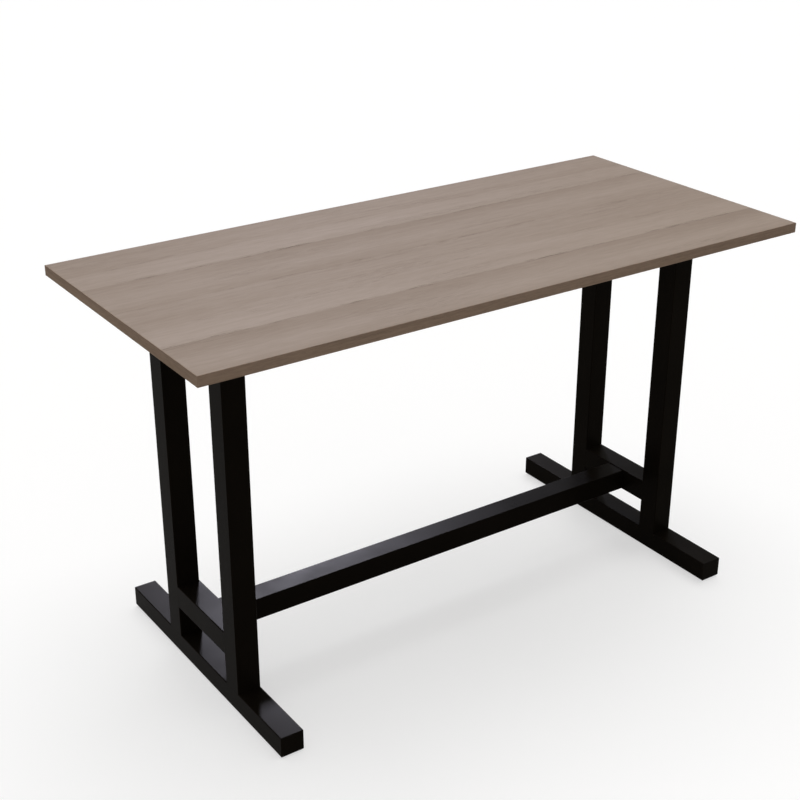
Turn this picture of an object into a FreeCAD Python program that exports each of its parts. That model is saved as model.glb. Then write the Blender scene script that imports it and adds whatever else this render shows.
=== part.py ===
import FreeCAD
import Part
import Sketcher
import math
import os
import re

# Study table: a laminated board on two welded end frames of square steel tube, tied by one low stretcher.
# Millimetres. +X runs along the top, +Y to the back, +Z up.
# The origin is on the floor under the middle of the top.

SIZES = (
    ("table_length", 1270, "top, end to end, over the edge bands"),
    ("table_depth", 580, "top, front to back, over the edge bands"),
    ("table_height", 745, "floor to the top's surface, levelling feet screwed in"),
    ("top_thickness", 19, "board with both laminates"),
    ("laminate", 0.8, "thickness of a laminate sheet"),
    ("edge_band", 1, "thickness of an edge band"),
    ("edge_arris", 0.4, "chamfer along an edge band's outer corners"),
    ("end_overhang", 112.5, "end of the top to the outer face of an end frame"),
    ("tube_width", 45, "width of the end frame's tubes along X"),
    ("tube_wall", 2, "wall of every frame tube"),
    ("tube_corner", 1.5, "outer corner radius of every frame tube"),
    ("post_depth", 45, "post, front to back"),
    ("post_gap", 179, "clear gap between the two posts of a frame"),
    ("post_shift", -6, "middle of the posts from the middle of the top"),
    ("foot_length", 578, "foot, front to back, over its caps"),
    ("foot_height", 40, "height of the foot's tube"),
    ("crossbar_height", 46, "height of the crossbar's tube"),
    ("crossbar_rise", 62, "gap from the foot's top to the crossbar's underside"),
    ("stretcher_width", 45, "stretcher, front to back"),
    ("stretcher_height", 44, "height of the stretcher's tube"),
    ("stretcher_shift", -6, "middle of the stretcher from the middle of the posts"),
    ("plate_thickness", 5, "plate between the posts and the top"),
    ("plate_reach", 95, "plate past the outer face of a post"),
    ("plate_screw_inset", 25, "end of the plate to its outer screw"),
    ("inner_screw_inset", 45, "post to the plate's inner screw"),
    ("cap_flange", 3, "visible thickness of a foot's end cap"),
    ("cap_plug", 14, "depth of the cap's plug in the tube"),
    ("cap_wall", 2.5, "wall of the cap's plug"),
    ("plug_fit", 0.1, "clearance round the cap's plug"),
    ("spigot_length", 70, "spigot from the crossbar's inner face"),
    ("spigot_wall", 3, "wall of the spigot"),
    ("spigot_fit", 0.4, "clearance at the spigot's top, and both sides together"),
    ("spigot_screw_first", 20, "crossbar's inner face to the first stretcher screw"),
    ("spigot_screw_pitch", 30, "first to second stretcher screw"),
    ("screw_diameter", 6, "thread of the top's and stretcher's screws"),
    ("screw_hole_play", 0.6, "screw hole's diameter over the thread's"),
    ("thread_play", 0.1, "threaded bore's diameter over the thread's, thread drawn plain"),
    ("screw_head_diameter", 10.5, "button head"),
    ("screw_head_height", 3.3, "button head"),
    ("screw_head_bevel", 1.6, "sloped rim of the button head"),
    ("screw_socket", 4, "hexagon socket across its flats"),
    ("screw_socket_depth", 2, "depth of the hexagon socket"),
    ("screw_grip", 10, "thread of a top screw in its insert"),
    ("insert_diameter", 10, "threaded insert in the board"),
    ("insert_length", 13, "threaded insert in the board"),
    ("nut_side", 10, "square weld nut across its flats"),
    ("nut_thickness", 5, "square weld nut"),
    ("leveller_inset", 45, "end of the foot to a levelling foot's axis"),
    ("stud_diameter", 8, "thread of a levelling stud"),
    ("stud_reach", 24, "threaded length of a levelling stud above its shoulder"),
    ("stud_chamfer", 1, "lead-in chamfer of a levelling stud"),
    ("stud_neck", 6, "neck of the stud between its shoulder and its head"),
    ("stud_head_diameter", 13, "round head of the stud inside the pad"),
    ("stud_head_height", 1.2, "round head of the stud inside the pad"),
    ("stud_socket", 3, "hexagon socket under the stud's head across its flats"),
    ("stud_socket_depth", 2.5, "depth of the socket under the stud's head"),
    ("running_play", 0.1, "running clearance of the stud in the pad, on a diameter or a height"),
    ("pad_diameter", 30, "levelling foot's pad"),
    ("pad_thickness", 3, "levelling foot's pad"),
    ("pad_floor", 0.8, "pad under the stud's head"),
    ("pad_bevel", 0.6, "bevel along the pad's rims"),
    ("key_hole", 5, "hole in the pad's floor for the key that turns the stud"),
    ("rivet_flange_diameter", 13, "rivet nut's flange under the foot"),
    ("rivet_flange", 0.5, "rivet nut's flange under the foot"),
    ("rivet_body", 11, "rivet nut's body diameter"),
    ("rivet_bulge_diameter", 15, "rivet nut's bulge above the foot's bottom wall"),
    ("rivet_bulge", 3, "height of the rivet nut's bulge"),
    ("rivet_length", 16, "rivet nut from the foot's underside up"),
)

# Places that several pieces share, as sums of the sizes above.
FRAME_OUTER = "(table_length / 2 - end_overhang)"
FRAME_MIDDLE = f"({FRAME_OUTER} - tube_width / 2)"
FRAME_INNER = f"({FRAME_OUTER} - tube_width)"
STUD_SHOULDER = "(pad_thickness + running_play / 2)"
FOOT_BOTTOM = "(pad_thickness + running_play + rivet_flange)"
FOOT_TOP = f"({FOOT_BOTTOM} + foot_height)"
CROSSBAR_BOTTOM = f"({FOOT_TOP} + crossbar_rise)"
TOP_UNDERSIDE = "(table_height - top_thickness)"
PLATE_BOTTOM = f"({TOP_UNDERSIDE} - plate_thickness)"
BOARD_LENGTH = "(table_length - 2 * edge_band)"
BOARD_DEPTH = "(table_depth - 2 * edge_band)"
BOARD_THICKNESS = "(top_thickness - 2 * laminate)"
POST_SPAN = "(post_gap + 2 * post_depth)"
FRONT_POST = f"(post_shift - {POST_SPAN} / 2)"
GAP_FRONT = "(post_shift - post_gap / 2)"
GAP_REAR = "(post_shift + post_gap / 2)"
PLATE_FRONT = f"({FRONT_POST} - plate_reach)"
PLATE_LENGTH = f"({POST_SPAN} + 2 * plate_reach)"
STRETCHER_MIDDLE = "(post_shift + stretcher_shift)"
SPIGOT_WIDTH = "(stretcher_width - 2 * tube_wall - spigot_fit)"
SPIGOT_HEIGHT = "(stretcher_height - 2 * tube_wall - spigot_fit)"
LEVELLER_REACH = "(foot_length / 2 - leveller_inset)"
SCREW_HOLE = "(screw_diameter + screw_hole_play)"
SCREW_BORE = "(screw_diameter + thread_play)"

SIDES = (("left", "-"), ("right", ""))
ENDS = (("front", "-"), ("rear", ""))
HEXAGON_CORNERS = 6
CORNERS_TO_FLATS = math.sqrt(3) / 2  # across flats over across corners, of a hexagon
NOTCH_LEG = 2 - math.sqrt(2)  # leg over radius, of the largest triangle in the notch beside a round corner

doc = FreeCAD.newDocument("study_table")
sheet = doc.addObject("Spreadsheet::Sheet", "Sizes")
for row, (alias, size, meaning) in enumerate(SIZES, 1):
    sheet.set(f"A{row}", meaning)
    sheet.set(f"B{row}", str(size))
    sheet.setAlias(f"B{row}", alias)
doc.recompute()

nodes = []


def cells(expression):
    """Points the sizes that an expression names at their cells in the sheet."""
    return re.sub(r"[a-z][a-z_]+", r"Sizes.\g<0>", expression)


def value(expression):
    """The number that an expression gives now, to draw a sketch near its final size."""
    return float(sheet.evalExpression(cells(expression)))


def bind(item, path, expression):
    item.setExpression(path, cells(expression))


def place(item, x="0", y="0", z="0"):
    for axis, expression in zip("xyz", (x, y, z)):
        bind(item, f"Placement.Base.{axis}", expression)


def new_body(label, x="0", y="0", z="0", is_node=True):
    body = doc.addObject("PartDesign::Body", label)
    body.Label = label
    place(body, x, y, z)
    if is_node:
        nodes.append(body)
    return body


def sketch_on(body, role):
    sketch = body.newObject("Sketcher::SketchObject", f"{body.Name}_sketch")
    plane = next(feature for feature in body.Origin.OriginFeatures if feature.Role == role)
    sketch.AttachmentSupport = [(plane, "")]
    sketch.MapMode = "FlatFace"
    return sketch


def dimension(sketch, kind, first, second, expression):
    """A driving distance between two points of a sketch, tied to the sheet."""
    index = sketch.addConstraint(Sketcher.Constraint(kind, *first, *second, value(expression)))
    bind(sketch, f"Constraints[{index}]", expression)


def fix_point(sketch, point, x, y):
    """Holds a point of a sketch at x and y from the sketch's origin."""
    for kind, axis, expression in (("DistanceX", -2, x), ("DistanceY", -1, y)):
        if expression == "0":
            sketch.addConstraint(Sketcher.Constraint("PointOnObject", *point, axis))
        else:
            dimension(sketch, kind, (-1, 1), point, expression)


def outline(sketch, corners):
    """A closed outline of straight lines through corners that are given as expressions."""
    points = [FreeCAD.Vector(value(x), value(y), 0) for x, y in corners]
    ends = points[1:] + points[:1]
    lines = [sketch.addGeometry(Part.LineSegment(a, b)) for a, b in zip(points, ends)]
    for line, following in zip(lines, lines[1:] + lines[:1]):
        sketch.addConstraint(Sketcher.Constraint("Coincident", line, 2, following, 1))
    for line, (x, y) in zip(lines, corners):
        fix_point(sketch, (line, 1), x, y)


def rectangle(sketch, width, base, height):
    """A plain rectangle, centred across the sketch, with its lower side at base."""
    left, right, top = f"-{width} / 2", f"{width} / 2", f"{base} + {height}"
    outline(sketch, [(left, base), (right, base), (right, top), (left, top)])


def rounded_rectangle(sketch, width, height, radius):
    """A rectangle with round corners, centred across the sketch, standing on its horizontal axis."""
    half, tall, bend = value(width) / 2, value(height), value(radius)
    inner = half - bend
    stretches = (
        ((-inner, 0), (inner, 0)),
        ((half, bend), (half, tall - bend)),
        ((inner, tall), (-inner, tall)),
        ((-half, tall - bend), (-half, bend)),
    )
    centres = ((inner, bend), (inner, tall - bend), (-inner, tall - bend), (-inner, bend))
    lines = [
        sketch.addGeometry(Part.LineSegment(FreeCAD.Vector(*a, 0), FreeCAD.Vector(*b, 0)))
        for a, b in stretches
    ]
    arcs = []
    for start, middle, end in zip(stretches, centres, stretches[1:] + stretches[:1]):
        centre = FreeCAD.Vector(*middle, 0)
        corner = FreeCAD.Vector(start[1][0] + end[0][0], start[1][1] + end[0][1], 0) - centre
        outward = (corner - centre).normalize()
        halfway = centre + outward * bend
        arc = Part.Arc(FreeCAD.Vector(*start[1], 0), halfway, FreeCAD.Vector(*end[0], 0))
        arcs.append(sketch.addGeometry(arc))
    for line, arc, following in zip(lines, arcs, lines[1:] + lines[:1]):
        sketch.addConstraint(Sketcher.Constraint("Tangent", line, 2, arc, 1))
        sketch.addConstraint(Sketcher.Constraint("Tangent", arc, 2, following, 1))
    for line, direction in zip(lines, ("Horizontal", "Vertical", "Horizontal", "Vertical")):
        sketch.addConstraint(Sketcher.Constraint(direction, line))
    for arc in arcs[1:]:
        sketch.addConstraint(Sketcher.Constraint("Equal", arcs[0], arc))
    index = sketch.addConstraint(Sketcher.Constraint("Radius", arcs[0], bend))
    bind(sketch, f"Constraints[{index}]", radius)
    sketch.addConstraint(Sketcher.Constraint("PointOnObject", lines[0], 1, -1))
    dimension(sketch, "DistanceY", (lines[0], 1), (lines[2], 1), height)
    dimension(sketch, "DistanceX", (-1, 1), (lines[1], 1), f"{width} / 2")
    dimension(sketch, "DistanceX", (lines[3], 1), (lines[1], 1), width)


def circles(sketch, centres, diameter):
    for x, y in centres:
        middle = FreeCAD.Vector(value(x), value(y), 0)
        circle = sketch.addGeometry(Part.Circle(middle, FreeCAD.Vector(0, 0, 1), value(diameter) / 2))
        fix_point(sketch, (circle, 3), x, y)
        index = sketch.addConstraint(Sketcher.Constraint("Diameter", circle, value(diameter)))
        bind(sketch, f"Constraints[{index}]", diameter)


def pad(body, sketch, length, reverse=False):
    feature = body.newObject("PartDesign::Pad", f"{body.Name}_pad")
    feature.Profile = sketch
    feature.Reversed = reverse
    bind(feature, "Length", length)
    doc.recompute()
    return feature


def drill_up(body, centres, diameter, depth):
    """Round holes from the underside of a body that stands on its own XY plane."""
    solid_volume = body.Shape.Volume
    sketch = sketch_on(body, "XY_Plane")
    circles(sketch, centres, diameter)
    feature = body.newObject("PartDesign::Pocket", f"{body.Name}_holes")
    feature.Profile = sketch
    feature.Reversed = True
    bind(feature, "Length", depth)
    doc.recompute()
    if not body.Shape.Volume < solid_volume:
        raise RuntimeError(f"{body.Label}: its holes cut nothing")


def turned(body, profile):
    """A round piece: its half profile, as radius and height, turned about the body's Z axis."""
    sketch = sketch_on(body, "XZ_Plane")
    outline(sketch, profile)
    feature = body.newObject("PartDesign::Revolution", f"{body.Name}_turned")
    feature.Profile = sketch
    feature.ReferenceAxis = (sketch, ["V_Axis"])
    feature.Angle = 360
    doc.recompute()


def hexagon_socket(body, flats, bottom, depth):
    """A socket for a hexagon key on a body's Z axis, cut into its lower end."""
    solid_volume = body.Shape.Volume
    feature = body.newObject("PartDesign::SubtractivePrism", f"{body.Name}_socket")
    plane = next(item for item in body.Origin.OriginFeatures if item.Role == "XY_Plane")
    feature.AttachmentSupport = [(plane, "")]
    feature.MapMode = "FlatFace"
    feature.Polygon = HEXAGON_CORNERS
    bind(feature, "Circumradius", f"{flats} / 2 / {CORNERS_TO_FLATS}")
    bind(feature, "Height", depth)
    bind(feature, "AttachmentOffset.Base.z", bottom)
    doc.recompute()
    if not body.Shape.Volume < solid_volume:
        raise RuntimeError(f"{body.Label}: its socket cuts nothing")


def copies_of(label, model, places):
    """A copy of a model at each place, given as x, y, z and a rotation."""
    copies = []
    for x, y, z, rotation in places:
        copy = doc.addObject("App::Link", f"{label}_copy")
        copy.LinkedObject = model
        copy.Placement = FreeCAD.Placement(FreeCAD.Vector(), rotation)
        place(copy, x, y, z)
        copies.append(copy)
    return copies


def group(label, copies):
    """Like pieces as one node, each still a solid of its own."""
    node = doc.addObject("Part::Compound", label)
    node.Label = label
    node.Links = copies
    nodes.append(node)


UPRIGHT = FreeCAD.Rotation()

# Every screw of the top, as its place across the table and front to back.
SCREW_ROWS = (
    f"({PLATE_FRONT} + plate_screw_inset)",
    f"({GAP_FRONT} + inner_screw_inset)",
    f"({GAP_REAR} - inner_screw_inset)",
    f"({PLATE_FRONT} + {PLATE_LENGTH} - plate_screw_inset)",
)
TOP_SCREWS = [(f"{sign}{FRAME_MIDDLE}", y) for _, sign in SIDES for y in SCREW_ROWS]
STRETCHER_SCREW_REACH = (
    f"({FRAME_INNER} - spigot_screw_first)",
    f"({FRAME_INNER} - spigot_screw_first - spigot_screw_pitch)",
)
STRETCHER_SCREWS = [
    (f"{sign}{reach}", STRETCHER_MIDDLE) for _, sign in SIDES for reach in STRETCHER_SCREW_REACH
]
LEVELLERS = [
    (f"{end}_{side}", f"{across}{FRAME_MIDDLE}", f"{along}{LEVELLER_REACH}")
    for side, across in SIDES
    for end, along in ENDS
]


def slab(label, length, depth, thickness, z):
    """A flat rectangular sheet or board, centred over the origin."""
    body = new_body(label, z=z)
    sketch = sketch_on(body, "XY_Plane")
    rectangle(sketch, length, f"-{depth} / 2", depth)
    pad(body, sketch, thickness)
    return body


def make_top():
    board = slab("top_board", BOARD_LENGTH, BOARD_DEPTH, BOARD_THICKNESS, f"{TOP_UNDERSIDE} + laminate")
    drill_up(board, TOP_SCREWS, "insert_diameter", "(insert_length - laminate)")
    slab("top_laminate", BOARD_LENGTH, BOARD_DEPTH, "laminate", "(table_height - laminate)")
    backing = slab("underside_laminate", BOARD_LENGTH, BOARD_DEPTH, "laminate", TOP_UNDERSIDE)
    drill_up(backing, TOP_SCREWS, "insert_diameter", "(2 * laminate)")
    make_edge_bands()


def band_profile(outward):
    """Section of an edge band on its outer face, with both outer corners broken."""
    face, inset = f"{outward}edge_band", f"{outward}(edge_band - edge_arris)"
    return [
        ("0", "0"),
        (inset, "0"),
        (face, "edge_arris"),
        (face, "top_thickness - edge_arris"),
        (inset, "top_thickness"),
        ("0", "top_thickness"),
    ]


def make_edge_bands():
    for label, along in (("front_edge_band", "-"), ("rear_edge_band", "")):
        body = new_body(label, "-table_length / 2", f"{along}{BOARD_DEPTH} / 2", TOP_UNDERSIDE)
        sketch = sketch_on(body, "YZ_Plane")
        outline(sketch, band_profile(along))
        pad(body, sketch, "table_length")
    for side, across in SIDES:
        board_end = f"{across}{BOARD_LENGTH} / 2"
        body = new_body(f"{side}_edge_band", board_end, f"-{BOARD_DEPTH} / 2", TOP_UNDERSIDE)
        sketch = sketch_on(body, "XZ_Plane")
        outline(sketch, band_profile(across))
        pad(body, sketch, BOARD_DEPTH, reverse=True)


def tube(label, plane, width, height, length, x, y, z, reverse=False):
    """A rectangular tube: width and height are its section's, and it stands on its body's origin."""
    body = new_body(label, x, y, z)
    sketch = sketch_on(body, plane)
    rounded_rectangle(sketch, width, height, "tube_corner")
    rectangle(sketch, f"({width} - 2 * tube_wall)", "tube_wall", f"({height} - 2 * tube_wall)")
    pad(body, sketch, length, reverse)
    return body


def make_end_frame(side, across):
    middle = f"{across}{FRAME_MIDDLE}"
    foot_front = "(cap_flange - foot_length / 2)"
    foot_tube = "(foot_length - 2 * cap_flange)"
    foot = tube(
        f"{side}_foot", "XZ_Plane", "tube_width", "foot_height", foot_tube,
        middle, foot_front, FOOT_BOTTOM, reverse=True,
    )
    holes = [("0", f"({along}{LEVELLER_REACH} - {foot_front})") for _, along in ENDS]
    drill_up(foot, holes, "rivet_body", "(2 * tube_wall)")

    post_height = f"({PLATE_BOTTOM} - {FOOT_TOP})"
    for end, y in (("front", FRONT_POST), ("rear", GAP_REAR)):
        tube(f"{side}_{end}_post", "XY_Plane", "tube_width", "post_depth", post_height, middle, y, FOOT_TOP)
    tube(
        f"{side}_crossbar", "XZ_Plane", "tube_width", "crossbar_height", "post_gap",
        middle, GAP_FRONT, CROSSBAR_BOTTOM, reverse=True,
    )

    plate = new_body(f"{side}_top_plate", middle, PLATE_FRONT, PLATE_BOTTOM)
    sketch = sketch_on(plate, "XY_Plane")
    rectangle(sketch, "tube_width", "0", PLATE_LENGTH)
    pad(plate, sketch, "plate_thickness")
    holes = [("0", f"({y} - {PLATE_FRONT})") for y in SCREW_ROWS]
    drill_up(plate, holes, SCREW_HOLE, "(2 * plate_thickness)")

    for end, along in ENDS:
        tube_end = f"{along}(foot_length / 2 - cap_flange)"
        make_foot_cap(f"{side}_foot_{end}_cap", middle, tube_end, end == "rear")


def make_foot_cap(label, x, y, faces_back):
    """A plug cap: a flange as large as the tube's section, and a hollow plug inside it."""
    body = new_body(label, x, y, FOOT_BOTTOM)
    flange = sketch_on(body, "XZ_Plane")
    rounded_rectangle(flange, "tube_width", "foot_height", "tube_corner")
    pad(body, flange, "cap_flange", reverse=faces_back)
    plug = sketch_on(body, "XZ_Plane")
    for inset in ("(tube_wall + plug_fit)", "(tube_wall + plug_fit + cap_wall)"):
        rectangle(plug, f"(tube_width - 2 * {inset})", inset, f"(foot_height - 2 * {inset})")
    pad(body, plug, "cap_plug", reverse=not faces_back)


def seam_model(label, length):
    """Weld metal in the notch beside a rounded tube corner: the square corner lies at the origin."""
    body = new_body(label, is_node=False)
    sketch = sketch_on(body, "XY_Plane")
    leg = f"tube_corner * {NOTCH_LEG}"
    outline(sketch, [("0", "0"), (leg, "0"), ("0", leg)])
    pad(body, sketch, length)
    return body


def make_welds():
    foot_seam = seam_model("foot_seam", "(post_depth - 2 * tube_corner)")
    crossbar_seam = seam_model("crossbar_seam", "(crossbar_height - 2 * tube_corner)")
    seam_bottom = f"({CROSSBAR_BOTTOM} + tube_corner)"
    x_axis, y_axis, z_axis = (FreeCAD.Vector(*axis) for axis in ((1, 0, 0), (0, 1, 0), (0, 0, 1)))
    # Each rotation lays the seam's two walls along the directions in which its notch goes into the tube.
    into_foot = {
        1: FreeCAD.Rotation(x_axis, -z_axis, y_axis),
        -1: FreeCAD.Rotation(-z_axis, -x_axis, y_axis),
    }
    into_post = {
        (1, -1): FreeCAD.Rotation(-y_axis, x_axis, z_axis),
        (-1, -1): FreeCAD.Rotation(-x_axis, -y_axis, z_axis),
        (1, 1): FreeCAD.Rotation(x_axis, y_axis, z_axis),
        (-1, 1): FreeCAD.Rotation(y_axis, -x_axis, z_axis),
    }
    for side, across in SIDES:
        low_face = f"{across}{FRAME_OUTER}" if across else FRAME_INNER
        high_face = f"{across}{FRAME_INNER}" if across else FRAME_OUTER
        on_foot = []
        on_posts = []
        for face, inward in ((low_face, 1), (high_face, -1)):
            for post in (FRONT_POST, GAP_REAR):
                on_foot.append((face, f"({post} + tube_corner)", FOOT_TOP, into_foot[inward]))
            for post_face, into in ((GAP_FRONT, -1), (GAP_REAR, 1)):
                on_posts.append((face, post_face, seam_bottom, into_post[inward, into]))
        foot_welds = copies_of(f"{side}_foot_seam", foot_seam, on_foot)
        post_welds = copies_of(f"{side}_crossbar_seam", crossbar_seam, on_posts)
        group(f"{side}_frame_welds", foot_welds + post_welds)


def make_stretcher():
    stretcher = tube(
        "stretcher", "YZ_Plane", "stretcher_width", "stretcher_height", f"(2 * {FRAME_INNER})",
        f"-{FRAME_INNER}", STRETCHER_MIDDLE, CROSSBAR_BOTTOM,
    )
    holes = [(f"({x} + {FRAME_INNER})", "0") for x, _ in STRETCHER_SCREWS]
    drill_up(stretcher, holes, SCREW_HOLE, "(2 * tube_wall)")
    spigot_bottom = f"({CROSSBAR_BOTTOM} + tube_wall)"
    for (side, across), start in zip(SIDES, (f"-{FRAME_INNER}", f"({FRAME_INNER} - spigot_length)")):
        spigot = new_body(f"{side}_spigot", start, STRETCHER_MIDDLE, spigot_bottom)
        sketch = sketch_on(spigot, "YZ_Plane")
        rectangle(sketch, SPIGOT_WIDTH, "0", SPIGOT_HEIGHT)
        bore_width = f"({SPIGOT_WIDTH} - 2 * spigot_wall)"
        bore_height = f"({SPIGOT_HEIGHT} - 2 * spigot_wall)"
        rectangle(sketch, bore_width, "spigot_wall", bore_height)
        pad(spigot, sketch, "spigot_length")
        holes = [(f"({across}{reach} - {start})", "0") for reach in STRETCHER_SCREW_REACH]
        drill_up(spigot, holes, SCREW_HOLE, "(2 * spigot_wall)")


def screw_model(label, length):
    """A button-head screw on its own axis: the head hangs below the origin, the thread goes up."""
    body = new_body(label, is_node=False)
    head, thread = "screw_head_diameter / 2", "screw_diameter / 2"
    turned(body, [
        ("0", "-screw_head_height"),
        ("screw_head_diameter / 2 - screw_head_bevel", "-screw_head_height"),
        (head, "screw_head_bevel - screw_head_height"),
        (head, "0"),
        (thread, "0"),
        (thread, length),
        ("0", length),
    ])
    hexagon_socket(body, "screw_socket", "-screw_head_height", "screw_socket_depth")
    return body


def make_fasteners():
    top_screw = screw_model("top_screw", "(plate_thickness + screw_grip)")
    places = [(x, y, PLATE_BOTTOM, UPRIGHT) for x, y in TOP_SCREWS]
    group("top_screws", copies_of("top_screw", top_screw, places))

    insert = new_body("insert", is_node=False)
    bore, outside = f"{SCREW_BORE} / 2", "insert_diameter / 2"
    turned(insert, [(bore, "0"), (outside, "0"), (outside, "insert_length"), (bore, "insert_length")])
    places = [(x, y, TOP_UNDERSIDE, UPRIGHT) for x, y in TOP_SCREWS]
    group("top_inserts", copies_of("top_insert", insert, places))

    stretcher_screw = screw_model("stretcher_screw", "(tube_wall + spigot_wall + nut_thickness)")
    places = [(x, y, CROSSBAR_BOTTOM, UPRIGHT) for x, y in STRETCHER_SCREWS]
    group("stretcher_screws", copies_of("stretcher_screw", stretcher_screw, places))

    nut = new_body("weld_nut", is_node=False)
    sketch = sketch_on(nut, "XY_Plane")
    rectangle(sketch, "nut_side", "-nut_side / 2", "nut_side")
    circles(sketch, [("0", "0")], SCREW_BORE)
    pad(nut, sketch, "nut_thickness")
    nut_bottom = f"({CROSSBAR_BOTTOM} + tube_wall + spigot_wall)"
    places = [(x, y, nut_bottom, UPRIGHT) for x, y in STRETCHER_SCREWS]
    group("stretcher_nuts", copies_of("stretcher_nut", nut, places))


def make_levellers():
    rivet = new_body("rivet_nut", is_node=False)
    bore, flange = "(stud_diameter + thread_play) / 2", "rivet_flange_diameter / 2"
    body, bulge = "rivet_body / 2", "rivet_bulge_diameter / 2"
    turned(rivet, [
        (bore, "-rivet_flange"),
        (flange, "-rivet_flange"),
        (flange, "0"),
        (body, "0"),
        (body, "tube_wall"),
        (bulge, "tube_wall"),
        (bulge, "tube_wall + rivet_bulge"),
        (body, "tube_wall + rivet_bulge"),
        (body, "rivet_length"),
        (bore, "rivet_length"),
    ])
    places = [(x, y, FOOT_BOTTOM, UPRIGHT) for _, x, y in LEVELLERS]
    group("rivet_nuts", copies_of("rivet_nut", rivet, places))
    for name, x, y in LEVELLERS:
        make_pad(f"{name}_pad", x, y)
        make_stud(f"{name}_stud", x, y)


def make_pad(label, x, y):
    """A nylon disc with an undercut for the stud's head, so that it stays still while the stud turns."""
    rim, throat = "pad_diameter / 2", "(stud_neck + running_play) / 2"
    cavity = "(stud_head_diameter + running_play) / 2"
    cavity_top = "pad_floor + stud_head_height + running_play"
    turned(new_body(label, x, y), [
        ("key_hole / 2", "0"),
        ("pad_diameter / 2 - pad_bevel", "0"),
        (rim, "pad_bevel"),
        (rim, "pad_thickness - pad_bevel"),
        ("pad_diameter / 2 - pad_bevel", "pad_thickness"),
        (throat, "pad_thickness"),
        (throat, cavity_top),
        (cavity, cavity_top),
        (cavity, "pad_floor"),
        ("key_hole / 2", "pad_floor"),
    ])


def make_stud(label, x, y):
    """A steel stud: a head inside the pad with a socket for a key from below, a neck and a thread."""
    body = new_body(label, x, y)
    head, neck, thread = "stud_head_diameter / 2", "stud_neck / 2", "stud_diameter / 2"
    head_bottom = "pad_floor + running_play / 2"
    head_top = f"{head_bottom} + stud_head_height"
    stud_top = f"({STUD_SHOULDER} + stud_reach)"
    turned(body, [
        ("0", head_bottom),
        (head, head_bottom),
        (head, head_top),
        (neck, head_top),
        (neck, STUD_SHOULDER),
        (thread, STUD_SHOULDER),
        (thread, f"{stud_top} - stud_chamfer"),
        ("stud_diameter / 2 - stud_chamfer", stud_top),
        ("0", stud_top),
    ])
    hexagon_socket(body, "stud_socket", head_bottom, "stud_socket_depth")


def write_nodes():
    """Stops on any piece that failed, then writes each node's solids."""
    doc.recompute()
    for item in doc.Objects:
        if {"Invalid", "Error"} & set(item.State):
            raise RuntimeError(f"{item.Label}: {item.State}")
    for node in nodes:
        if node.Shape.isNull() or not node.Shape.isValid() or not node.Shape.Solids:
            raise RuntimeError(f"{node.Label}: no valid solid")
    os.makedirs("parts", exist_ok=True)
    for node in nodes:
        node.Shape.exportStep(f"parts/{node.Label}.step")
        print(f"{node.Label}: {len(node.Shape.Solids)} solid(s), {node.Shape.Volume / 1000:.2f} cm3")


make_top()
for side, across in SIDES:
    make_end_frame(side, across)
make_welds()
make_stretcher()
make_fasteners()
make_levellers()
write_nodes()
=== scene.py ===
import math
from typing import NamedTuple

import bmesh
import bpy
from bpy.props import FloatProperty, FloatVectorProperty, IntProperty, PointerProperty
from mathutils import Euler, Matrix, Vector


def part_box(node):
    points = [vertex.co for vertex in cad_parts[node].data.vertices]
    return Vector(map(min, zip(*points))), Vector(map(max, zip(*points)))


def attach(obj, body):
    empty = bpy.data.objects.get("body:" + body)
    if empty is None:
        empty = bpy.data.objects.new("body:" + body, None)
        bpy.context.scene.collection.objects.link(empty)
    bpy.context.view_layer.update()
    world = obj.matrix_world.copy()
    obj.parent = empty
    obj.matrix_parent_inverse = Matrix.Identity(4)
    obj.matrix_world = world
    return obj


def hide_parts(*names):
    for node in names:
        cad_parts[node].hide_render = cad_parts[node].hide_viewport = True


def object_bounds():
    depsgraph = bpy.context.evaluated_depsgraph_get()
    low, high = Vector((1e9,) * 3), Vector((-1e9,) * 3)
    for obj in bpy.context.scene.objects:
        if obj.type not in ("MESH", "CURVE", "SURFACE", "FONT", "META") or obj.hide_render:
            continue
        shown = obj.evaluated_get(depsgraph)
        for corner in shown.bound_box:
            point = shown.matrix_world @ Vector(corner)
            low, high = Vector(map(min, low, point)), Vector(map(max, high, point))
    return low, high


bl_info = {
    "name": "Study table",
    "version": (1, 0, 0),
    "blender": (4, 5, 0),
    "location": "3D View > Sidebar > Study table",
    "description": "Finishes, threaded levelling studs and a plain stage for the study table",
    "category": "Object",
}

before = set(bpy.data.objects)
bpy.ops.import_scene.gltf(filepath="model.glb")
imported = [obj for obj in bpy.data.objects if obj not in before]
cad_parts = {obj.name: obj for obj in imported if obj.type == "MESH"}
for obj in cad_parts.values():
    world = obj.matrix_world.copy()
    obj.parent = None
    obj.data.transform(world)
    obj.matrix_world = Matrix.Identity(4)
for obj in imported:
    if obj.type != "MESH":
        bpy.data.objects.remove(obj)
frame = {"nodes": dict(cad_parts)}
CAD_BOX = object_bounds()
NODES = frame["nodes"]
SIDES = ("left", "right")
ENDS = ("front", "rear")
LEVELLERS = [f"{end}_{side}" for side in SIDES for end in ENDS]


class Streak(NamedTuple):
    """A streak of the oak decor: its width in metres, its tones, and how many pores lie along its front."""

    width: float
    back_tone: float
    front_tone: float
    pores: float


class GrainNoise(NamedTuple):
    """Noise with so many features per metre along the grain, and so many across it."""

    along: float
    across: float
    detail: float = 2.0
    roughness: float = 0.5


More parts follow.
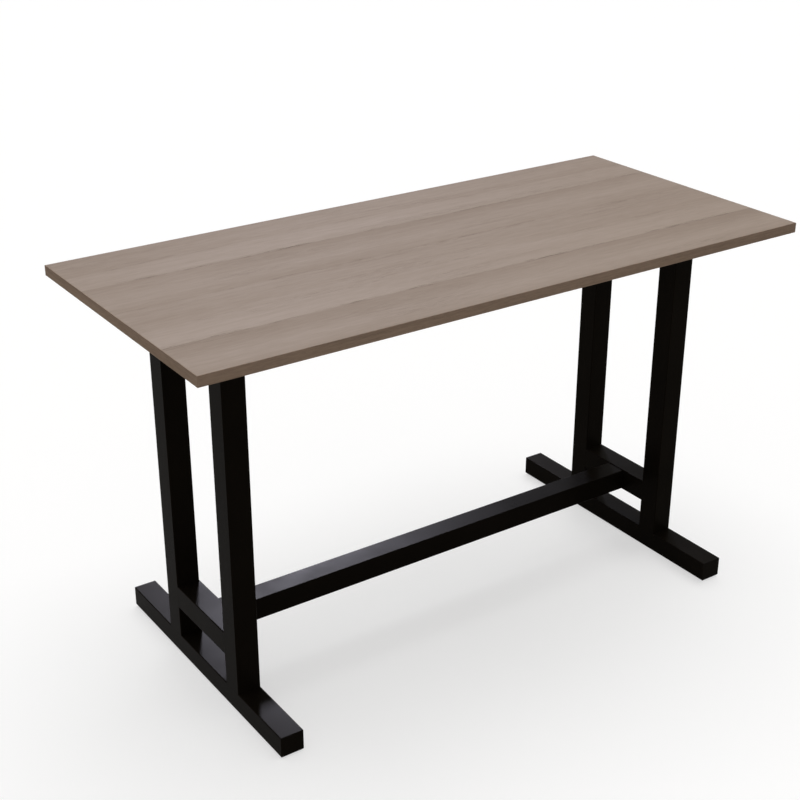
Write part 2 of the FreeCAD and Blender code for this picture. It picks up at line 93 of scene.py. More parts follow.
# From the back edge of the top to its front one.
OAK_STREAKS = (
    Streak(0.088, 0.40, 0.30, 0.55),
    Streak(0.070, 0.60, 0.66, 1.00),
    Streak(0.080, 0.08, 0.66, 0.10),
    Streak(0.052, 0.62, 0.22, 0.80),
    Streak(0.092, 0.45, 0.52, 0.50),
    Streak(0.078, 0.62, 0.90, 1.00),
    Streak(0.080, 0.08, 0.80, 0.10),
    Streak(0.040, 0.76, 0.40, 0.30),
)
STREAK_STEP = 0.003  # metres over which one streak turns into the next
STREAK_WANDER = 0.018  # metres over which the edges of the streaks wander
PORE_LINE = 0.007  # metres from a streak's edge that its pores reach
EDGE_SHRINK = 2.5  # streaks are so many times narrower on the edge bands
EDGE_SHORTEN = 2.0  # and the grain is so many times shorter there
EDGE_STREAK = 4  # place in the list of the streak that starts at an edge band's upper rim

OAK_NOISE = {
    "wander": GrainNoise(1.2, 9.0),
    "clouds": GrainNoise(1.7, 14.0, 3.0),
    "ribbons": GrainNoise(3.0, 95.0, 3.0),
    "dashes": GrainNoise(30.0, 170.0),
    "fibres": GrainNoise(26.0, 560.0, 3.0, 0.6),
    "hairs": GrainNoise(22.0, 2100.0, 2.0, 0.6),
    "patches": GrainNoise(2.6, 24.0),
    "breaks": GrainNoise(9.0, 40.0, 5.0, 0.72),
    "flecks": GrainNoise(48.0, 1300.0, 1.0),
}
NOISE_MIDDLE = 0.5  # mean value of any noise
# How far each noise moves the oak's tone.
TONE_SHARES = {"clouds": 0.75, "ribbons": 0.60, "dashes": 0.55, "fibres": 0.85, "hairs": 0.50}
# Noise values between which pores go from none to all: in patches, along a streak's edge, and each pore.
PATCH_LIMITS = (0.50, 0.72)
BREAK_LIMITS = (0.44, 0.60)
FLECK_LIMITS = (0.49, 0.61)
PATCH_SHARE = 0.35  # pores in a patch, where 1 is as many as along a streak's edge
HAIR_RELIEF = 0.5  # height of the hairs, where 1 is the depth of the pores

# What is added to the laminate's roughness on dark oak, on light oak and in the pores.
DARK_ROUGHNESS = 0.06
LIGHT_ROUGHNESS = -0.04
PORE_ROUGHNESS = 0.15

COAT_CLOUDS = GrainNoise(7.0, 7.0, 4.0, 0.55)
CLOUD_LIMITS = (0.3, 0.7)  # noise values of a coat's darkest and lightest clouds
CLOUD_ROUGHNESS = 0.05  # clouds change a coat's roughness by so much both ways
DIMPLE_ROUGHNESS = 0.12  # and dimples by so much from hollow to crown

CHIPS_PER_METRE = 420.0
CHIP_SHADES = (0.6, 1.2)  # darkest and lightest chip, as shares of the board's colour
CHIP_ROUGHNESS = (0.75, 0.9)
CHIP_RELIEF = 0.0003  # metres

THREAD_FLANK = 3 / 8  # share of the pitch along each flank of the thread
THREAD_CREST = 1 / 8  # and along its crest
SPARE_TURNS = 2  # turns of thread past each end, which are cut off
SAME_PLACE = 1e-6  # metres within which points count as one
CUT_REACH = 1e-7  # metres within which points count as on a cut
SHARP_ANGLE = math.radians(35.0)

RIM_LIGHTS = 4
FLOOR_SIDES = 96
WHITE = (1.0, 1.0, 1.0)
SENSOR_WIDTH = 36.0  # millimetres
CAMERA_REACH = 100.0  # metres


def colour_property(name, description, default):
    return FloatVectorProperty(name=name, description=description, default=default, subtype="COLOR", min=0.0)


def length_property(name, description, default):
    return FloatProperty(name=name, description=description, default=default, unit="LENGTH", precision=5)


def share_property(name, description, default):
    return FloatProperty(
        name=name, description=description, default=default, subtype="FACTOR", min=0.0, max=1.0
    )


def angle_property(name, description, degrees):
    return FloatProperty(name=name, description=description, default=math.radians(degrees), subtype="ANGLE")


class TopFinish(bpy.types.PropertyGroup):
    """The board's laminates and edge bands."""

    oak_light: colour_property("Light oak", "Lightest streaks of the decor", (0.337, 0.271, 0.221))
    oak_dark: colour_property("Dark oak", "Darkest streaks of the decor", (0.267, 0.208, 0.164))
    pore_colour: colour_property("Pores", "Short dark flecks in the decor", (0.135, 0.099, 0.075))
    pore_strength: share_property("Pore strength", "How much of their colour the pores show", 0.82)
    pore_depth: length_property("Pore depth", "Depth of the embossed pores", 0.00006)
    edge_light: colour_property("Light edge", "Lightest streaks of the edge bands", (0.368, 0.269, 0.198))
    edge_dark: colour_property("Dark edge", "Darkest streaks of the edge bands", (0.205, 0.146, 0.106))
    top_roughness: share_property("Top roughness", "Roughness of the matt laminate", 0.60)
    top_gloss: share_property("Top gloss", "Specular level of the matt laminate", 0.017)
    backing_colour: colour_property("Backing", "Plain laminate under the board", (0.285, 0.238, 0.198))
    chip_colour: colour_property("Particle board", "Wood chips of the board's core", (0.520, 0.380, 0.230))


class FrameFinish(bpy.types.PropertyGroup):
    """Powder coat of the steel tubes and the moulded caps."""

    paint_colour: colour_property("Powder coat", "Black of the painted steel", (0.0062, 0.0047, 0.0032))
    paint_roughness: share_property("Paint roughness", "Roughness of the satin coat", 0.31)
    dimple_size: length_property("Dimple size", "Width of the coat's orange peel", 0.0016)
    dimple_depth: length_property("Dimple depth", "Depth of the coat's orange peel", 0.00002)
    paint_gloss: share_property("Gloss", "Specular level of the coat and the caps", 0.0075)
    gloss_colour: colour_property("Gloss colour", "Warm cast of the gloss", (1.0, 0.93, 0.82))
    cap_colour: colour_property("Caps", "Black of the moulded caps", (0.0064, 0.0050, 0.0036))
    cap_roughness: share_property("Cap roughness", "Roughness of the moulded caps", 0.34)
    spark_size: length_property("Cap texture", "Width of the caps' moulded texture", 0.0007)


class HardwareFinish(bpy.types.PropertyGroup):
    """Screws, inserts, nuts and levelling feet."""

    oxide_colour: colour_property("Black oxide", "Screws under the table", (0.020, 0.020, 0.021))
    brass_colour: colour_property("Brass", "Threaded inserts in the board", (0.700, 0.510, 0.220))
    zinc_colour: colour_property("Zinc", "Nuts and levelling studs", (0.560, 0.570, 0.580))
    nylon_colour: colour_property("Nylon", "Pads on the floor", (0.020, 0.020, 0.020))
    mark_size: length_property("Tool mark", "Width of the turned pieces' tool marks", 0.0003)
    mark_depth: length_property("Tool mark depth", "Depth of the turned pieces' tool marks", 0.00001)
    head_height: length_property("Stud head", "Thickness of a levelling stud's head", 0.0012)
    neck_radius: length_property("Stud neck", "Radius of a levelling stud between its head and thread", 0.003)
    thread_radius: length_property("Stud thread", "Radius of a levelling stud at its thread's crests", 0.004)
    thread_pitch: length_property("Thread pitch", "Rise of a levelling stud's thread in one turn", 0.00125)
    thread_depth: length_property("Thread depth", "Crest to root of a levelling stud's thread", 0.00068)
    lead_in: length_property("Lead-in", "Chamfer at a levelling stud's upper end", 0.001)
    socket_flats: length_property("Socket", "Hexagon socket under a levelling stud across its flats", 0.003)
    socket_depth: length_property("Socket depth", "Depth of the socket under a levelling stud", 0.0025)
    turn_steps: IntProperty(name="Turn steps", description="Facets in one turn of a stud", default=36, min=12)


class StageSettings(bpy.types.PropertyGroup):
    """Camera, light and floor."""

    camera_place: FloatVectorProperty(
        name="Camera", description="Where the camera stands", default=(-1.47284, -2.03596, 1.59752),
        subtype="TRANSLATION", unit="LENGTH",
    )
    camera_turn: angle_property("Turn", "Camera's turn from straight ahead to the right", 34.3925)
    camera_dip: angle_property("Dip", "Camera's dip below the horizon", 24.9459)
    lens: FloatProperty(
        name="Lens", description="Focal length on a 36 mm sensor", default=65.0, min=10.0,
        subtype="DISTANCE_CAMERA",
    )
    key_strength: FloatProperty(name="Key", description="Strength of the soft key light", default=1.82)
    key_height: angle_property("Key height", "Key light's height over the horizon", 75.0)
    key_turn: angle_property("Key turn", "Key light's turn from straight behind to the right", 42.0)
    key_spread: angle_property("Key spread", "Angle that the soft key light fills", 60.0)
    rim_strength: FloatProperty(name="Rim", description="Strength of the sheen on black tubes", default=2.95)
    rim_colour: colour_property("Rim colour", "Colour of the sheen on black tubes", (0.86, 0.85, 1.0))
    rim_height: angle_property("Rim height", "Rim light's height over the horizon", 29.5)
    rim_turn: angle_property("Rim turn", "First rim light's turn from straight behind to the right", 29.2)
    rim_spread: angle_property("Rim spread", "Angle that a rim light fills", 6.0)
    fill_strength: FloatProperty(name="Fill", description="Strength of the light all round", default=0.40)
    fill_colour: colour_property("Fill colour", "Colour of the light all round", (1.0, 0.98, 0.96))
    floor_colour: colour_property("Floor", "Floor as seen", (0.46, 0.46, 0.46))
    floor_bounce: colour_property("Floor bounce", "Floor as it lights the table", (0.45, 0.44, 0.43))
    floor_glow: share_property("Floor glow", "Part of the floor's white that needs no light", 0.565)
    floor_reach: length_property("Floor reach", "Middle of the floor to its rim", 30.0)
    floor_drop: length_property("Floor drop", "Hair's breadth that keeps the floor clear of the pads", 0.0003)


class StudyTable(bpy.types.PropertyGroup):
    """Everything that a user of the table would change."""

    top: PointerProperty(type=TopFinish, name="Top", description="Finish of the board")
    frame: PointerProperty(type=FrameFinish, name="Frame", description="Finish of the tubes and caps")
    hardware: PointerProperty(type=HardwareFinish, name="Hardware", description="Fasteners and levellers")
    stage: PointerProperty(type=StageSettings, name="Stage", description="Camera, light and floor")


def feed(tree, socket, given):
    """Links a socket, or sets its value."""
    if isinstance(given, bpy.types.NodeSocket):
        tree.links.new(given, socket)
    else:
        socket.default_value = given


def put(tree, kind, inputs=None, **settings):
    """Adds a node with its settings and its inputs."""
    node = tree.nodes.new(kind)
    for name, setting in settings.items():
        setattr(node, name, setting)
    for name, given in (inputs or {}).items():
        feed(tree, node.inputs[name], given)
    return node


def maths(tree, operation, *operands):
    """The result of an operation on values or sockets."""
    node = put(tree, "ShaderNodeMath", operation=operation)
    for socket, operand in zip(node.inputs, operands):
        feed(tree, socket, operand)
    return node.outputs["Value"]


def sway(tree, value, noise_value, reach):
    """A value that a noise moves up and down, with a given reach from its lowest to its highest."""
    offset = maths(tree, "SUBTRACT", noise_value, NOISE_MIDDLE)
    return maths(tree, "MULTIPLY_ADD", offset, reach, value)


def remap(tree, given, low, high, to_low=0.0, to_high=1.0, smooth=False):
    """A value from low to high, as one from to_low to to_high, held at both ends."""
    node = put(tree, "ShaderNodeMapRange", interpolation_type="SMOOTHSTEP" if smooth else "LINEAR")
    for name, operand in zip(
        ("Value", "From Min", "From Max", "To Min", "To Max"), (given, low, high, to_low, to_high)
    ):
        feed(tree, node.inputs[name], operand)
    return node.outputs["Result"]


def mix_colours(tree, share, first, second):
    """The first colour where the share is 0, and the second where it is 1."""
    node = put(tree, "ShaderNodeMix", data_type="RGBA")
    colours = [socket for socket in node.inputs if socket.type == "RGBA"]
    feed(tree, node.inputs["Factor"], share)
    for socket, colour in zip(colours, (first, second)):
        feed(tree, socket, colour if isinstance(colour, bpy.types.NodeSocket) else (*colour, 1.0))
    return next(socket for socket in node.outputs if socket.type == "RGBA")


def shade(colour, share):
    """A darker or lighter colour of the same cast."""
    return tuple(channel * share for channel in colour)


def noise(tree, vector, counts, detail=2.0, roughness=0.5):
    """Noise with its own count of features per metre along X, Y and Z."""
    scaled = put(tree, "ShaderNodeVectorMath", operation="MULTIPLY")
    feed(tree, scaled.inputs[0], vector)
    feed(tree, scaled.inputs[1], counts)
    texture = put(
        tree, "ShaderNodeTexNoise",
        {"Vector": scaled.outputs["Vector"], "Scale": 1.0, "Detail": detail, "Roughness": roughness},
    )
    return texture.outputs[0]


def grain_noise(tree, vector, kind):
    """Noise of one kind, with its grain along X."""
    return noise(tree, vector, (kind.along, kind.across, kind.across), kind.detail, kind.roughness)


def new_group(name, inputs, outputs):
    """An empty node group with its sockets, and the nodes at its two ends."""
    group = bpy.data.node_groups.new(name, "ShaderNodeTree")
    for label, kind in inputs:
        group.interface.new_socket(label, in_out="INPUT", socket_type=kind)
    for label in outputs:
        group.interface.new_socket(label, in_out="OUTPUT", socket_type="NodeSocketFloat")
    return group, put(group, "NodeGroupInput"), put(group, "NodeGroupOutput")


def oak_decor():
    """Printed oak with its grain along X: streaks of tone, fine fibres and short dark pores."""
    name = "Oak decor"
    if name in bpy.data.node_groups:
        return bpy.data.node_groups[name]
    group, given, made = new_group(name, [("Vector", "NodeSocketVector")], ("Tone", "Pores", "Height"))
    grain = given.outputs["Vector"]
    noises = {label: grain_noise(group, grain, kind) for label, kind in OAK_NOISE.items()}
    back, front = CAD_BOX[1].y, CAD_BOX[0].y

    depth = put(group, "ShaderNodeSeparateXYZ", {"Vector": grain}).outputs["Y"]
    depth = sway(group, depth, noises["wander"], STREAK_WANDER)
    streaks = put(group, "ShaderNodeValToRGB", {"Fac": remap(group, depth, back, front)})
    fill_streaks(streaks.color_ramp, back - front)
    tone = put(group, "ShaderNodeRGBToBW", {"Color": streaks.outputs["Color"]}).outputs["Val"]
    for label, share in TONE_SHARES.items():
        tone = sway(group, tone, noises[label], share)

    patches = remap(group, noises["patches"], *PATCH_LIMITS, to_high=PATCH_SHARE, smooth=True)
    breaks = remap(group, noises["breaks"], *BREAK_LIMITS, smooth=True)
    flecks = remap(group, noises["flecks"], *FLECK_LIMITS, smooth=True)
    lines = maths(group, "MULTIPLY", streaks.outputs["Alpha"], breaks)
    pores = maths(group, "MULTIPLY", flecks, maths(group, "MAXIMUM", patches, lines))
    height = maths(group, "SUBTRACT", maths(group, "MULTIPLY", noises["hairs"], HAIR_RELIEF), pores)
    for label, value in (("Tone", tone), ("Pores", pores), ("Height", height)):
        feed(group, made.inputs[label], value)
    return group


def fill_streaks(ramp, depth):
    """Sets a ramp's colour to the tones of the oak's streaks, and its alpha to the pores at their edges."""
    edge = 0.0
    pores_behind = 0.0
    stops = []
    for streak in OAK_STREAKS:
        slope = (streak.front_tone - streak.back_tone) / streak.width
        for inset, density in ((STREAK_STEP / 2, pores_behind), (PORE_LINE, 0.0)):
            stops.append((edge + inset, streak.back_tone + slope * inset, density))
        edge += streak.width
        for inset, density in ((PORE_LINE, 0.0), (STREAK_STEP / 2, streak.pores)):
            stops.append((edge - inset, streak.front_tone - slope * inset, density))
        pores_behind = streak.pores
    while len(ramp.elements) < len(stops):
        ramp.elements.new(1.0)
    for element, (place, tone, density) in zip(ramp.elements, stops):
        element.position = min(place / depth, 1.0)
        element.color = (tone, tone, tone, density)


def coat_texture():
    """Fine dimples of a given size, and broad clouds, for any coated, moulded or plated surface."""
    name = "Coat texture"
    if name in bpy.data.node_groups:
        return bpy.data.node_groups[name]
    inputs = [("Vector", "NodeSocketVector"), ("Dimple size", "NodeSocketFloat")]
    group, given, made = new_group(name, inputs, ("Dimples", "Clouds"))
    vector = given.outputs["Vector"]
    count = maths(group, "DIVIDE", 1.0, given.outputs["Dimple size"])
    counts = put(group, "ShaderNodeCombineXYZ", {"X": count, "Y": count, "Z": count}).outputs["Vector"]
    feed(group, made.inputs["Dimples"], noise(group, vector, counts))
    feed(group, made.inputs["Clouds"], grain_noise(group, vector, COAT_CLOUDS))
    return group


def new_material(name):
    """A material with its node tree, its shader and its object coordinates."""
    material = bpy.data.materials.new(name)
    material.use_nodes = True
    tree = material.node_tree
    shader = tree.nodes["Principled BSDF"]
    return material, tree, shader, put(tree, "ShaderNodeTexCoord").outputs["Object"]


def add_bump(tree, shader, height, depth):
    """Gives a shader relief, so deep in metres."""
    bump = put(tree, "ShaderNodeBump", {"Height": height, "Distance": depth, "Strength": 1.0})
    feed(tree, shader.inputs["Normal"], bump.outputs["Normal"])


def oak_material(name, finish, light, dark, mapping):
    """Matt oak laminate, with the way that the decor lies on it."""
    material, tree, shader, vector = new_material(name)
    laid = put(tree, "ShaderNodeMapping", {"Vector": vector, **mapping})
    decor = put(tree, "ShaderNodeGroup", node_tree=oak_decor())
    feed(tree, decor.inputs["Vector"], laid.outputs["Vector"])
    tone, pores = decor.outputs["Tone"], decor.outputs["Pores"]
    face = mix_colours(tree, tone, dark, light)
    stain = maths(tree, "MULTIPLY", pores, finish.pore_strength)
    feed(tree, shader.inputs["Base Color"], mix_colours(tree, stain, face, finish.pore_colour))
    dark_rough = finish.top_roughness + DARK_ROUGHNESS
    light_rough = finish.top_roughness + LIGHT_ROUGHNESS
    face_rough = remap(tree, tone, 0.0, 1.0, dark_rough, light_rough)
    feed(tree, shader.inputs["Roughness"], maths(tree, "MULTIPLY_ADD", pores, PORE_ROUGHNESS, face_rough))
    shader.inputs["Specular IOR Level"].default_value = finish.top_gloss
    add_bump(tree, shader, decor.outputs["Height"], finish.pore_depth)
    return material


def edge_mapping(turn):
    """Lays the decor along an edge band, with one of its streaks at the upper rim."""
    streak_edge = CAD_BOX[1].y - sum(streak.width for streak in OAK_STREAKS[:EDGE_STREAK])
    return {
        "Location": (0.0, streak_edge - EDGE_SHRINK * CAD_BOX[1].z, 0.0),
        "Rotation": (-math.pi / 2, turn, 0.0),
        "Scale": (EDGE_SHORTEN, EDGE_SHORTEN, EDGE_SHRINK),
    }


def coated_material(
    name, colour, roughness, dimple_size, dimple_depth, metallic=0.0, specular=0.5, mottle=0.15, gleam=None
):
    """A coated, moulded or plated surface: clouds in its colour and gloss, dimples in its relief."""
    material, tree, shader, vector = new_material(name)
    coat = put(tree, "ShaderNodeGroup", node_tree=coat_texture())
    feed(tree, coat.inputs["Vector"], vector)
    feed(tree, coat.inputs["Dimple size"], dimple_size)
    dimples = coat.outputs["Dimples"]
    clouds = remap(tree, coat.outputs["Clouds"], *CLOUD_LIMITS)
    darker, lighter = shade(colour, 1.0 - mottle), shade(colour, 1.0 + mottle)
    feed(tree, shader.inputs["Base Color"], mix_colours(tree, clouds, darker, lighter))
    cloudy = remap(tree, clouds, 0.0, 1.0, roughness - CLOUD_ROUGHNESS, roughness + CLOUD_ROUGHNESS)
    feed(tree, shader.inputs["Roughness"], sway(tree, cloudy, dimples, DIMPLE_ROUGHNESS))
    shader.inputs["Metallic"].default_value = metallic
    shader.inputs["Specular IOR Level"].default_value = specular
    if gleam:
        shader.inputs["Specular Tint"].default_value = (*gleam, 1.0)
    add_bump(tree, shader, dimples, dimple_depth)
    return material


def chip_material(name, colour):
    """Pressed wood chips, each with its own tone."""
    material, tree, shader, vector = new_material(name)
    chips = put(
        tree, "ShaderNodeTexVoronoi", {"Vector": vector, "Scale": CHIPS_PER_METRE, "Randomness": 1.0}
    )
    tone = put(tree, "ShaderNodeRGBToBW", {"Color": chips.outputs["Color"]}).outputs["Val"]
    darker, lighter = (shade(colour, share) for share in CHIP_SHADES)
    feed(tree, shader.inputs["Base Color"], mix_colours(tree, tone, darker, lighter))
    feed(tree, shader.inputs["Roughness"], remap(tree, tone, 0.0, 1.0, *CHIP_ROUGHNESS))
    add_bump(tree, shader, chips.outputs["Distance"], CHIP_RELIEF)
    return material


def finish_nodes(material, names):
    """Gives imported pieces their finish."""
    for name in names:
        piece = NODES[name]
        if not piece.material_slots:
            raise RuntimeError(f"{name} has no material slot")
        for slot in piece.material_slots:
            slot.material = material


class STUDYTABLE_OT_top(bpy.types.Operator):
    """Finishes the board: oak laminate, edge bands, backing laminate and core"""

    bl_idname = "study_table.top"
    bl_label = "Finish the top"

    def execute(self, context):
        finish = context.scene.study_table.top
        top = oak_material("oak_top", finish, finish.oak_light, finish.oak_dark, {})
        finish_nodes(top, ["top_laminate"])
        for name, turn, sides in (("lengthwise", 0.0, ENDS), ("crosswise", math.pi / 2, SIDES)):
            edge = oak_material(
                f"oak_edge_{name}", finish, finish.edge_light, finish.edge_dark, edge_mapping(turn)
            )
            finish_nodes(edge, [f"{side}_edge_band" for side in sides])
        backing = coated_material(
            "backing_laminate", finish.backing_colour, roughness=0.55,
            dimple_size=0.0012, dimple_depth=0.00003, specular=0.3, mottle=0.04,
        )
        finish_nodes(backing, ["underside_laminate"])
        finish_nodes(chip_material("particle_board", finish.chip_colour), ["top_board"])
        return {"FINISHED"}


class STUDYTABLE_OT_frames(bpy.types.Operator):
    """Paints the two end frames and the stretcher, and finishes the feet's caps"""

    bl_idname = "study_table.frames"
    bl_label = "Finish the frames"

    def execute(self, context):
        finish = context.scene.study_table.frame
        paint = coated_material(
            "black_powder_coat", finish.paint_colour, finish.paint_roughness,
            finish.dimple_size, finish.dimple_depth, specular=finish.paint_gloss, gleam=finish.gloss_colour,
        )
        pieces = ("foot", "front_post", "rear_post", "crossbar", "top_plate", "frame_welds", "spigot")
        finish_nodes(paint, [f"{side}_{piece}" for side in SIDES for piece in pieces] + ["stretcher"])
        caps = coated_material(
            "black_moulded_caps", finish.cap_colour, finish.cap_roughness,
            finish.spark_size, finish.dimple_depth, specular=finish.paint_gloss, gleam=finish.gloss_colour,
        )
        finish_nodes(caps, [f"{side}_foot_{end}_cap" for side in SIDES for end in ENDS])
        return {"FINISHED"}


class STUDYTABLE_OT_fasteners(bpy.types.Operator):
    """Finishes the screws, inserts, weld nuts, rivet nuts and floor pads"""

    bl_idname = "study_table.fasteners"
    bl_label = "Finish the fasteners"

    def execute(self, context):
        finish = context.scene.study_table.hardware
        marks = tool_marks(finish)
        oxide = coated_material("black_oxide", finish.oxide_colour, roughness=0.38, metallic=0.6, **marks)
        finish_nodes(oxide, ["top_screws", "stretcher_screws"])
        brass = coated_material("brass", finish.brass_colour, roughness=0.32, metallic=1.0, **marks)
        finish_nodes(brass, ["top_inserts"])
        finish_nodes(zinc_material(finish), ["stretcher_nuts", "rivet_nuts"])
        nylon = coated_material(
            "black_nylon", finish.nylon_colour, roughness=0.5,
            dimple_size=0.0009, dimple_depth=0.00004, specular=0.3,
        )
        finish_nodes(nylon, [f"{name}_pad" for name in LEVELLERS])
        return {"FINISHED"}


def tool_marks(finish):
    """The dimples of a turned piece."""
    return {"dimple_size": finish.mark_size, "dimple_depth": finish.mark_depth}


def zinc_material(finish):
    """Zinc plate, made once for the nuts and the studs."""
    name = "zinc_plate"
    if name in bpy.data.materials:
        return bpy.data.materials[name]
    return coated_material(name, finish.zinc_colour, roughness=0.34, metallic=1.0, **tool_marks(finish))


def spun(mesh, profile, steps, turns=1.0, rise=0.0):
    """Turns a profile of radius and height about Z, rising along a screw where it has a rise per turn."""
    corners = [mesh.verts.new((radius, 0.0, height)) for radius, height in profile]
    edges = [mesh.edges.new(pair) for pair in zip(corners, corners[1:])]
    closed = rise == 0.0
    bmesh.ops.spin(
        mesh, geom=corners + edges, axis=(0.0, 0.0, 1.0), cent=(0.0, 0.0, 0.0),
        dvec=(0.0, 0.0, rise / steps), angle=math.tau * turns, steps=round(steps * turns), use_merge=closed,
    )


def cut_level(mesh, height, keep_above):
    """Cuts a mesh level at a height, and gives the cut's rim."""
    geometry = mesh.verts[:] + mesh.edges[:] + mesh.faces[:]
    cut = bmesh.ops.bisect_plane(
        mesh, geom=geometry, dist=CUT_REACH, plane_co=(0.0, 0.0, height), plane_no=(0.0, 0.0, 1.0),
        clear_inner=keep_above, clear_outer=not keep_above,
    )
    return [item for item in cut["geom_cut"] if isinstance(item, bmesh.types.BMEdge)]


def threaded_rod(mesh, finish, bottom, top):
    """A screw thread between two heights, with a lead-in at its closed top.

    Gives the rim of its open bottom.
    """
    pitch, radius = finish.thread_pitch, finish.thread_radius
    root = radius - finish.thread_depth
    start = bottom - SPARE_TURNS * pitch
    turns = math.ceil((top - bottom) / pitch) + 2 * SPARE_TURNS
    profile = [
        (root, start),
        (radius, start + THREAD_FLANK * pitch),
        (radius, start + (THREAD_FLANK + THREAD_CREST) * pitch),
        (root, start + (2 * THREAD_FLANK + THREAD_CREST) * pitch),
        (root, start + pitch),
    ]
    spun(mesh, profile, finish.turn_steps, turns, pitch)
    bmesh.ops.remove_doubles(mesh, verts=mesh.verts, dist=SAME_PLACE)
    bmesh.ops.triangle_fill(mesh, edges=cut_level(mesh, top, keep_above=False), use_beauty=True)
    for corner in mesh.verts:
        reach = radius - max(0.0, corner.co.z - (top - finish.lead_in))
        distance = corner.co.xy.length
        if distance > reach:
            corner.co.xy *= reach / distance
    return cut_level(mesh, bottom, keep_above=True)


def level_ring(edges, height):
    """The edges that lie level at a height."""
    return [edge for edge in edges if all(abs(vert.co.z - height) < SAME_PLACE for vert in edge.verts)]


def sink_socket(mesh, finish, rim, height):
    """Closes a head's underside inside its rim, with a hexagon socket sunk into it."""
    corner = finish.socket_flats / math.sqrt(3)
    place = Matrix.Translation((0.0, 0.0, height))
    corners = bmesh.ops.create_circle(mesh, cap_ends=False, segments=6, radius=corner, matrix=place)["verts"]
    mouth = list(dict.fromkeys(edge for vert in corners for edge in vert.link_edges))
    bmesh.ops.triangle_fill(mesh, edges=rim + mouth, use_beauty=True)
    walls = bmesh.ops.extrude_edge_only(mesh, edges=mouth)["geom"]
    sunk = [item for item in walls if isinstance(item, bmesh.types.BMVert)]
    bmesh.ops.translate(mesh, verts=sunk, vec=(0.0, 0.0, finish.socket_depth))
    edges = [item for item in walls if isinstance(item, bmesh.types.BMEdge)]
    bmesh.ops.triangle_fill(mesh, edges=level_ring(edges, height + finish.socket_depth), use_beauty=True)


def levelling_stud(name, finish):
    """A stud with a real thread, a neck, and a head that has a hexagon socket in its underside."""
    low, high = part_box(f"{name}_stud")
    pad_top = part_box(f"{name}_pad")[1].z
    shoulder = (pad_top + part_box("rivet_nuts")[0].z) / 2
    head_radius, head_top = (high.x - low.x) / 2, low.z + finish.head_height
    mesh = bmesh.new()
    rod_rim = threaded_rod(mesh, finish, shoulder, high.z)
    rod_edges = set(mesh.edges)
    spun(mesh, [
        (head_radius, low.z),
        (head_radius, head_top),
        (finish.neck_radius, head_top),
        (finish.neck_radius, shoulder),
    ], finish.turn_steps)
    body_edges = [edge for edge in mesh.edges if edge not in rod_edges]
    bmesh.ops.triangle_fill(mesh, edges=rod_rim + level_ring(body_edges, shoulder), use_beauty=True)
    sink_socket(mesh, finish, level_ring(body_edges, low.z), low.z)
    bmesh.ops.recalc_face_normals(mesh, faces=mesh.faces)
    bmesh.ops.translate(mesh, verts=mesh.verts, vec=((low.x + high.x) / 2, (low.y + high.y) / 2, 0.0))
    data = bpy.data.meshes.new(f"{name}_threaded_stud")
    mesh.to_mesh(data)
    mesh.free()
    data.shade_smooth()
    data.set_sharp_from_angle(angle=SHARP_ANGLE)
    stud = bpy.data.objects.new(f"{name}_threaded_stud", data)
    bpy.context.scene.collection.objects.link(stud)
    return stud


class STUDYTABLE_OT_studs(bpy.types.Operator):
    """Makes the levelling studs with their threads"""

    bl_idname = "study_table.studs"
    bl_label = "Make the levelling studs"

    def execute(self, context):
        finish = context.scene.study_table.hardware
        for name in LEVELLERS:
            stud = levelling_stud(name, finish)
            stud.data.materials.append(zinc_material(finish))
            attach(stud, f"{name}_stud")
            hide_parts(f"{name}_stud")
        return {"FINISHED"}


def seen_rays(tree):
    """1 for what is seen straight, in a reflection or through glass, and 0 for what lights other things."""
    path = put(tree, "ShaderNodeLightPath").outputs
    seen = maths(tree, "MAXIMUM", path["Is Camera Ray"], path["Is Glossy Ray"])
    return maths(tree, "MAXIMUM", seen, path["Is Transmission Ray"])


def floor_material(settings):
    """Pale floor that is white to the eye, keeps shadows, and isn't there from below."""
    material = bpy.data.materials.new("pale_floor")
    material.use_nodes = True
    tree = material.node_tree
    tree.nodes.clear()
    seen = seen_rays(tree)
    colour = mix_colours(tree, seen, settings.floor_bounce, settings.floor_colour)
    lit = put(tree, "ShaderNodeBsdfDiffuse", {"Color": colour}).outputs["BSDF"]
    strength = maths(tree, "MULTIPLY", seen, settings.floor_glow)
    glow = put(tree, "ShaderNodeEmission", {"Strength": strength}).outputs["Emission"]
    surface = put(tree, "ShaderNodeAddShader")
    feed(tree, surface.inputs[0], lit)
    feed(tree, surface.inputs[1], glow)
    clear = put(tree, "ShaderNodeBsdfTransparent").outputs["BSDF"]
    below = put(tree, "ShaderNodeNewGeometry").outputs["Backfacing"]
    one_sided = put(tree, "ShaderNodeMixShader", {"Fac": below})
    feed(tree, one_sided.inputs[1], surface.outputs["Shader"])
    feed(tree, one_sided.inputs[2], clear)
    put(tree, "ShaderNodeOutputMaterial", {"Surface": one_sided.outputs["Shader"]})
    return material


def make_floor(settings):
    """A wide round floor."""
    mesh = bmesh.new()
    place = Matrix.Translation((0.0, 0.0, -settings.floor_drop))
    bmesh.ops.create_circle(
        mesh, cap_ends=True, segments=FLOOR_SIDES, radius=settings.floor_reach, matrix=place
    )
    data = bpy.data.meshes.new("floor")
    mesh.to_mesh(data)
    mesh.free()
    floor = bpy.data.objects.new("floor", data)
    floor.data.materials.append(floor_material(settings))
    bpy.context.scene.collection.objects.link(floor)


def make_world(scene, settings):
    """An even fill all round, which is white to the eye."""
    world = bpy.data.worlds.new("studio")
    world.use_nodes = True
    tree = world.node_tree
    background = tree.nodes["Background"]
    fill = shade(settings.fill_colour, settings.fill_strength)
    feed(tree, background.inputs["Color"], mix_colours(tree, seen_rays(tree), fill, WHITE))
    scene.world = world


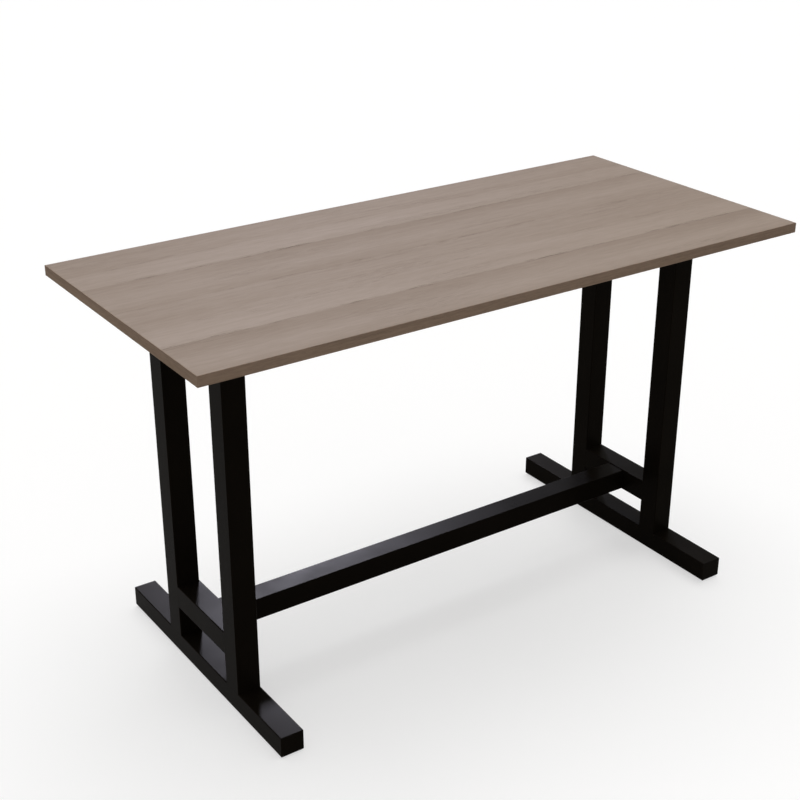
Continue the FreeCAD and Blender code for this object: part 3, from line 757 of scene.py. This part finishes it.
def add_sun(scene, name, strength, height, turn, spread):
    """A soft light from behind, so high over the horizon and so far round to the right."""
    lamp = bpy.data.lights.new(name, "SUN")
    lamp.energy = strength
    lamp.angle = spread
    sun = bpy.data.objects.new(name, lamp)
    sun.rotation_euler = Euler((height - math.pi / 2, 0.0, -turn))
    scene.collection.objects.link(sun)
    return sun


def make_lights(scene, settings):
    """A broad soft light from above, and low ones round the table that only put a sheen on glossy pieces."""
    add_sun(scene, "key", settings.key_strength, settings.key_height, settings.key_turn, settings.key_spread)
    for index in range(RIM_LIGHTS):
        turn = settings.rim_turn + index * math.tau / RIM_LIGHTS
        rim = add_sun(
            scene, f"rim_{index + 1}", settings.rim_strength, settings.rim_height, turn, settings.rim_spread
        )
        rim.data.color = settings.rim_colour
        rim.visible_diffuse = False


def make_camera(scene, settings):
    """A camera that stands and looks as the photographer's did."""
    data = bpy.data.cameras.new("camera")
    data.lens = settings.lens
    data.sensor_width = SENSOR_WIDTH
    data.clip_end = CAMERA_REACH
    camera = bpy.data.objects.new("camera", data)
    camera.location = settings.camera_place
    camera.rotation_euler = Euler((math.pi / 2 - settings.camera_dip, 0.0, -settings.camera_turn))
    scene.collection.objects.link(camera)
    scene.camera = camera


class STUDYTABLE_OT_stage(bpy.types.Operator):
    """Makes the pale floor, the soft light and the camera"""

    bl_idname = "study_table.stage"
    bl_label = "Make the stage"

    def execute(self, context):
        scene = context.scene
        settings = scene.study_table.stage
        make_floor(settings)
        make_lights(scene, settings)
        make_world(scene, settings)
        make_camera(scene, settings)
        scene.view_settings.view_transform = "Standard"
        return {"FINISHED"}


OPERATORS = (
    STUDYTABLE_OT_top,
    STUDYTABLE_OT_frames,
    STUDYTABLE_OT_fasteners,
    STUDYTABLE_OT_studs,
    STUDYTABLE_OT_stage,
)


class STUDYTABLE_PT_panel(bpy.types.Panel):
    """Steps and settings of the study table"""

    bl_label = "Study table"
    bl_space_type = "VIEW_3D"
    bl_region_type = "UI"
    bl_category = "Study table"

    def draw(self, context):
        settings = context.scene.study_table
        for operator in OPERATORS:
            self.layout.operator(operator.bl_idname)
        for part in (settings.top, settings.frame, settings.hardware, settings.stage):
            box = self.layout.box()
            for name in part.__annotations__:
                box.prop(part, name)


CLASSES = (TopFinish, FrameFinish, HardwareFinish, StageSettings, StudyTable, *OPERATORS, STUDYTABLE_PT_panel)


def register():
    for item in CLASSES:
        bpy.utils.register_class(item)
    bpy.types.Scene.study_table = PointerProperty(
        type=StudyTable, name="Study table", description="Finishes, hardware and stage of the study table"
    )


def unregister():
    del bpy.types.Scene.study_table
    for item in reversed(CLASSES):
        bpy.utils.unregister_class(item)


def main():
    register()
    bpy.ops.study_table.top()
    bpy.ops.study_table.frames()
    bpy.ops.study_table.fasteners()
    bpy.ops.study_table.studs()
    bpy.ops.study_table.stage()
    bpy.context.view_layer.update()


if __name__ == "__main__":
    main()
